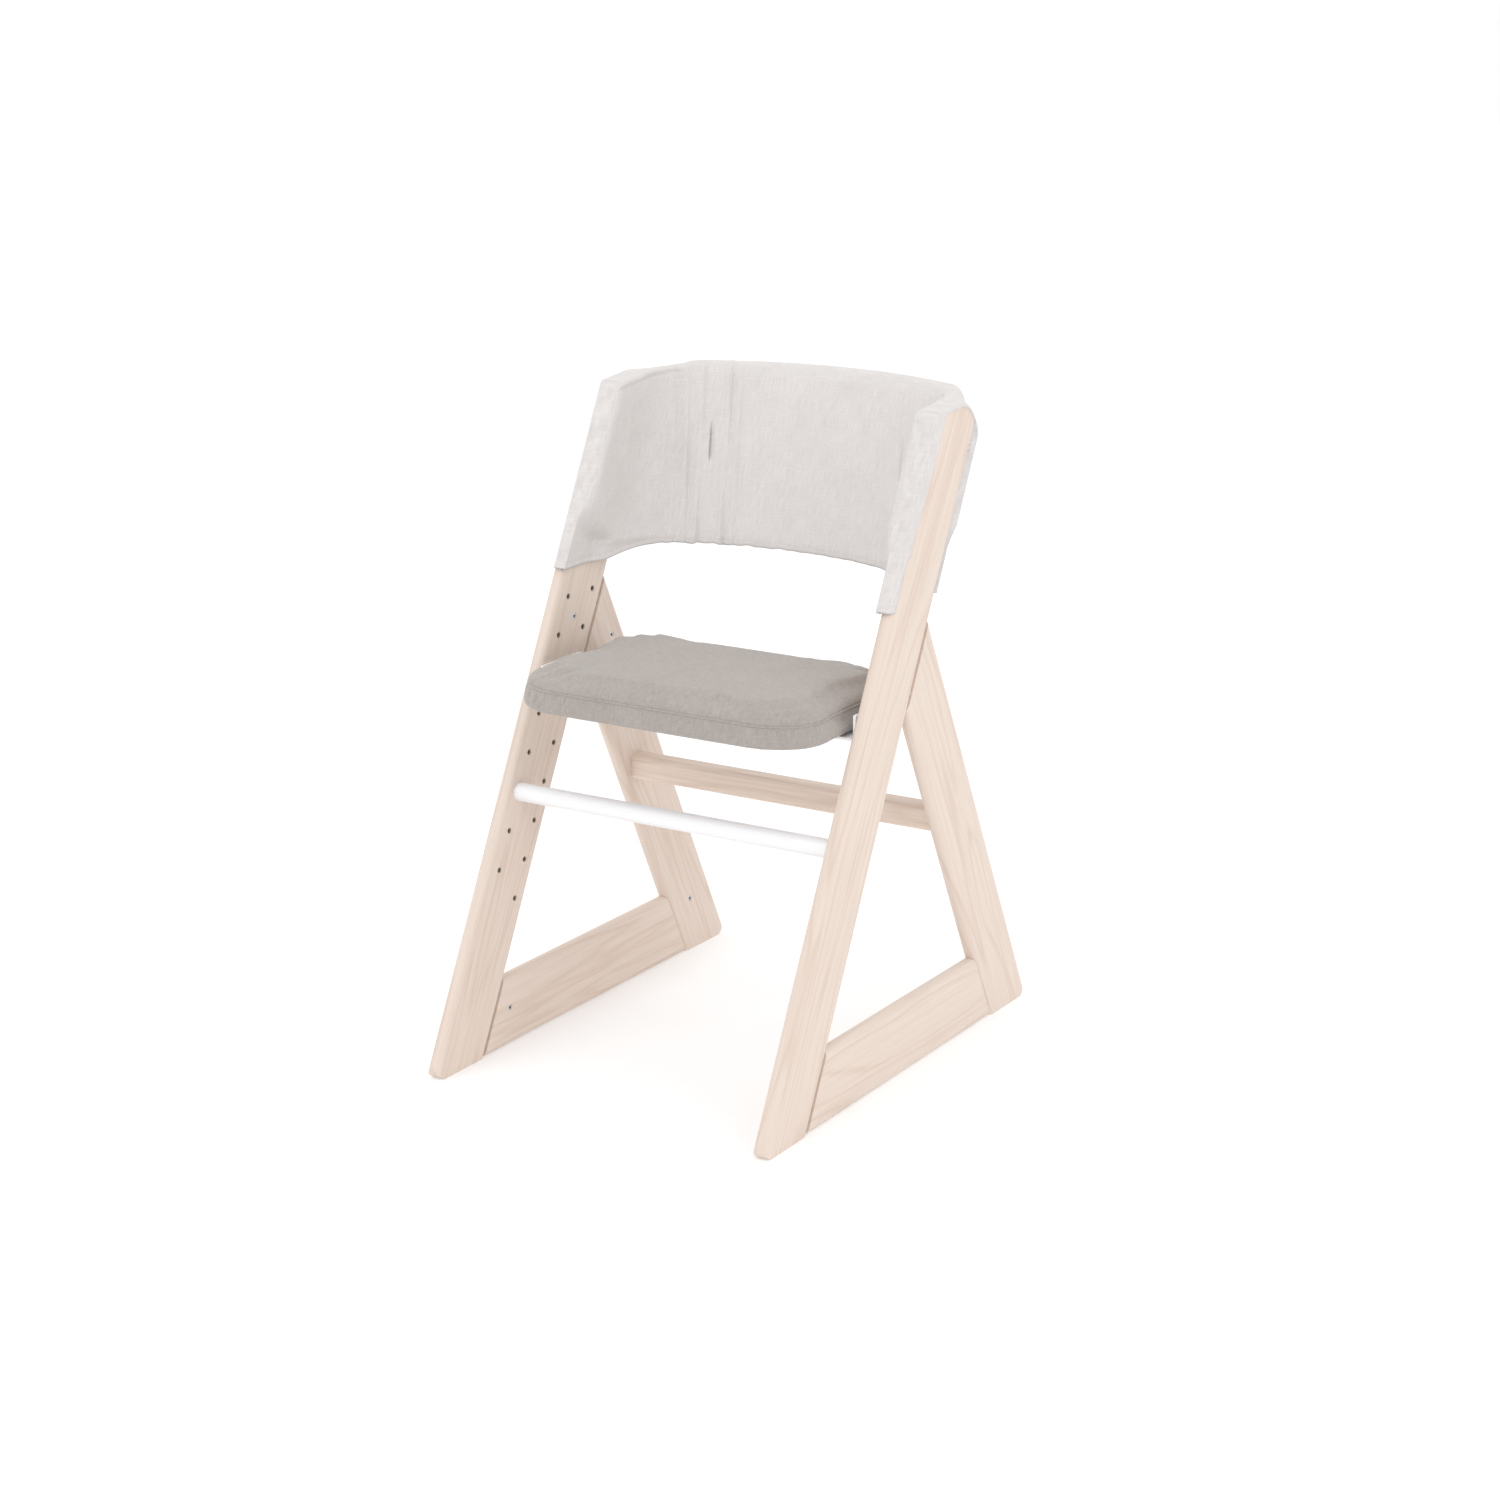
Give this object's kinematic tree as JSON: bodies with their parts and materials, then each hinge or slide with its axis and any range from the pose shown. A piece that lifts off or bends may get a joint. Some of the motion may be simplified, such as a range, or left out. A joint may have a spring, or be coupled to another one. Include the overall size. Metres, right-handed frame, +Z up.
{
  "type": "baby high chair",
  "caption": "High chair with lambda-shaped wooden side frames, a padded seat, a bent plywood back in a fabric sleeve and a round footrest bar.",
  "frame": {"origin": "on the floor, at the middle of the footprint", "axes": "+Z is up; the sitter faces -Y; X = 0 is the plane of symmetry and -X is called left"},
  "size_m": [0.48, 0.6376, 0.81],
  "materials": {
    "whitewashed_wood": "fine-grained pale wood, whitewashed, matt",
    "dowel_wood": "raw beech",
    "plywood": "plywood with visible plies on the edge",
    "zinc_steel": "zinc plated",
    "insert_metal": "dull plated",
    "white_paint": "satin white powder coat",
    "foam": "open-cell foam",
    "taupe_fabric": "woven melange, matt",
    "grey_linen": "slubbed linen weave, matt"
  },
  "bodies": {
    "root": {"left_front_leg": "whitewashed_wood", "right_front_leg": "whitewashed_wood", "left_rear_strut": "whitewashed_wood", "right_rear_strut": "whitewashed_wood", "left_floor_rail": "whitewashed_wood", "right_floor_rail": "whitewashed_wood", "left_frame_dowels": "dowel_wood", "right_frame_dowels": "dowel_wood", "left_joint_studs": "zinc_steel", "right_joint_studs": "zinc_steel", "left_barrel_nuts": "zinc_steel", "right_barrel_nuts": "zinc_steel", "left_leg_inserts": "insert_metal", "right_leg_inserts": "insert_metal", "rear_crossbar": "whitewashed_wood", "crossbar_dowels": "dowel_wood", "crossbar_studs": "zinc_steel", "crossbar_barrel_nuts": "zinc_steel", "crossbar_inserts": "insert_metal", "footrest_tube": "white_paint", "footrest_end_plugs": "white_paint", "seat_board": "plywood", "seat_foam": "foam", "seat_cushion_cover": "taupe_fabric", "left_seat_bracket": "white_paint", "right_seat_bracket": "white_paint", "left_bracket_bolts": "zinc_steel", "right_bracket_bolts": "zinc_steel", "seat_board_screws": "zinc_steel", "backrest_shell": "plywood", "left_backrest_bolts": "zinc_steel", "right_backrest_bolts": "zinc_steel", "left_backrest_inserts": "insert_metal", "right_backrest_inserts": "insert_metal", "backrest_cover": "grey_linen"}
  },
  "joints": []
}
